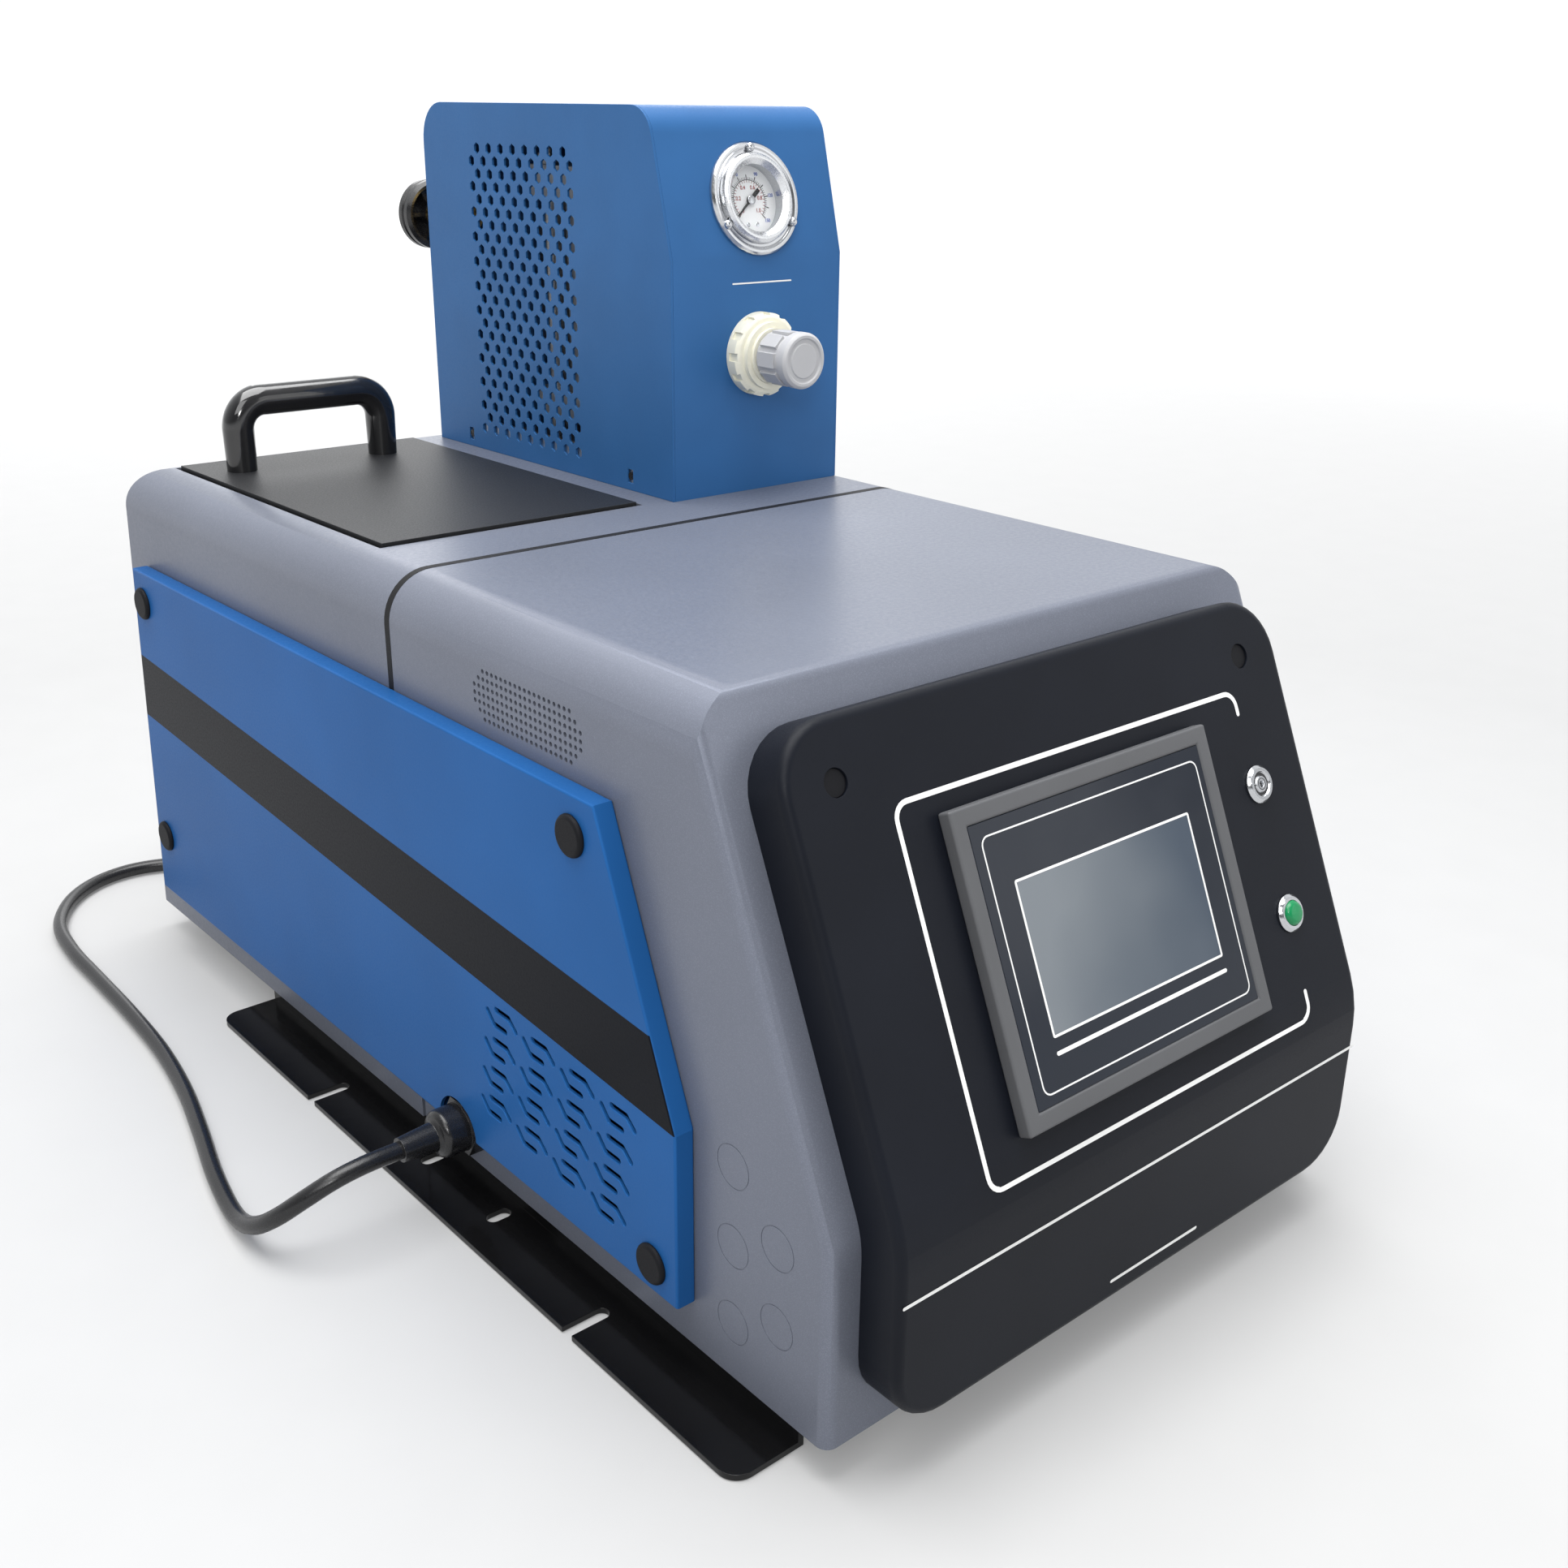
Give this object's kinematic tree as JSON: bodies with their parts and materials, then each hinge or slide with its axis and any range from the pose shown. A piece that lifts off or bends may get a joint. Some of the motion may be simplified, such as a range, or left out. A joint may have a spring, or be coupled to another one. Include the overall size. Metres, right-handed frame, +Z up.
{
  "type": "hot melt glue unit",
  "caption": "Bench hot melt glue unit: grey housing with blue side trays, sloping touch panel, hinged tank lid and a pump tower with gauge and air regulator.",
  "frame": {"origin": "on the floor, at the centre of the four closed base slots", "axes": "+Z up, -Y towards the operator panel, +X to the right seen from the front"},
  "size_m": [0.478, 0.8255, 0.513],
  "materials": {
    "base_black": "gloss black paint",
    "deck_steel": "zinc plated",
    "grey_paint": "metallic grey paint",
    "seal_rubber": "matt",
    "blue_paint": "satin blue paint",
    "cap_plastic": "matt",
    "panel_black": "satin black paint",
    "bezel_grey": "matt",
    "screen_glass": "gloss film over glass",
    "bright_steel": "polished",
    "green_lens": "clear green",
    "lid_black": "textured black paint",
    "handle_plastic": "gloss",
    "cast_aluminium": "cast and machined",
    "ceramic_cream": "matt",
    "brass": "machined",
    "machined_steel": "machined",
    "black_plastic": "satin",
    "cream_plastic": "satin",
    "knob_grey": "satin",
    "gauge_glass": "clear",
    "electrics_grey": "satin",
    "cord_rubber": "satin"
  },
  "bodies": {
    "machine": {"left_base_rail": "base_black", "right_base_rail": "base_black", "floor_pan": "deck_steel", "tower_brackets": "deck_steel", "hinge_brackets": "deck_steel", "tie_rods": "deck_steel", "hinge_pins": "deck_steel", "front_housing": "grey_paint", "rear_housing": "grey_paint", "rear_wall": "grey_paint", "seam_seal": "seal_rubber", "left_side_panel": "blue_paint", "right_side_panel": "blue_paint", "tower_shell": "blue_paint", "tower_left_side": "blue_paint", "tower_right_side": "blue_paint", "left_panel_caps": "cap_plastic", "right_panel_caps": "cap_plastic", "front_panel_caps": "cap_plastic", "front_panel": "panel_black", "screen_bezel": "bezel_grey", "screen_case": "bezel_grey", "screen_glass": "screen_glass", "buzzer": "bright_steel", "power_lamp_bezel": "bright_steel", "signal_nuts": "bright_steel", "gauge_case": "bright_steel", "gauge_screws": "bright_steel", "power_lamp_lens": "green_lens", "glue_tank": "cast_aluminium", "manifold_block": "cast_aluminium", "cylinder_caps": "cast_aluminium", "solenoid_valve": "cast_aluminium", "cylinder_tube": "cast_aluminium", "tank_feet": "ceramic_cream", "tank_heaters": "brass", "filter_plug": "brass", "air_valve": "brass", "hose_nipples": "machined_steel", "pump_barrel": "machined_steel", "hose_sockets": "black_plastic", "cable_gland": "black_plastic", "power_plug": "black_plastic", "tower_screws": "black_plastic", "regulator_body": "cream_plastic", "regulator_nut": "cream_plastic", "gauge_ring": "cream_plastic", "gauge_dial": "cream_plastic", "gauge_glass": "gauge_glass", "electrics": "electrics_grey", "cord_lead": "cord_rubber", "cord_coil": "cord_rubber"},
    "lid": {"tank_lid": "lid_black", "lid_handle": "handle_plastic", "handle_screws": "deck_steel"},
    "spindle": {"regulator_spindle": "machined_steel"},
    "knob": {"regulator_knob": "knob_grey"},
    "needle": {"gauge_needle": "black_plastic"},
    "rod": {"pump_rod": "machined_steel"},
    "wheel": {"valve_wheel": "black_plastic"}
  },
  "joints": [
    {"name": "lid_hinge", "type": "hinge", "parent": "machine", "child": "lid", "pos_m": [-0.067, 0.112, 0.301], "axis": [1, 0, 0], "range_deg": [0, 100]},
    {"name": "knob_turn", "type": "hinge", "parent": "machine", "child": "spindle", "pos_m": [0.0896, 0.07, 0.3855], "axis": [0, -1, 0], "range_deg": [0, 1440]},
    {"name": "knob_pull", "type": "slide", "parent": "spindle", "child": "knob", "axis": [0, -1, 0], "range_m": [0, 0.003]},
    {"name": "needle_swing", "type": "hinge", "parent": "machine", "child": "needle", "pos_m": [0.092, 0.09578, 0.4661], "axis": [0, 0.9701, -0.2425], "range_deg": [0, 270]},
    {"name": "pump_stroke", "type": "slide", "parent": "machine", "child": "rod", "axis": [0, 0, 1], "range_m": [0, 0.04]},
    {"name": "valve_turn", "type": "hinge", "parent": "machine", "child": "wheel", "pos_m": [0.05, 0.365, 0.446], "axis": [0, 1, 0], "range_deg": [0, 720]}
  ]
}
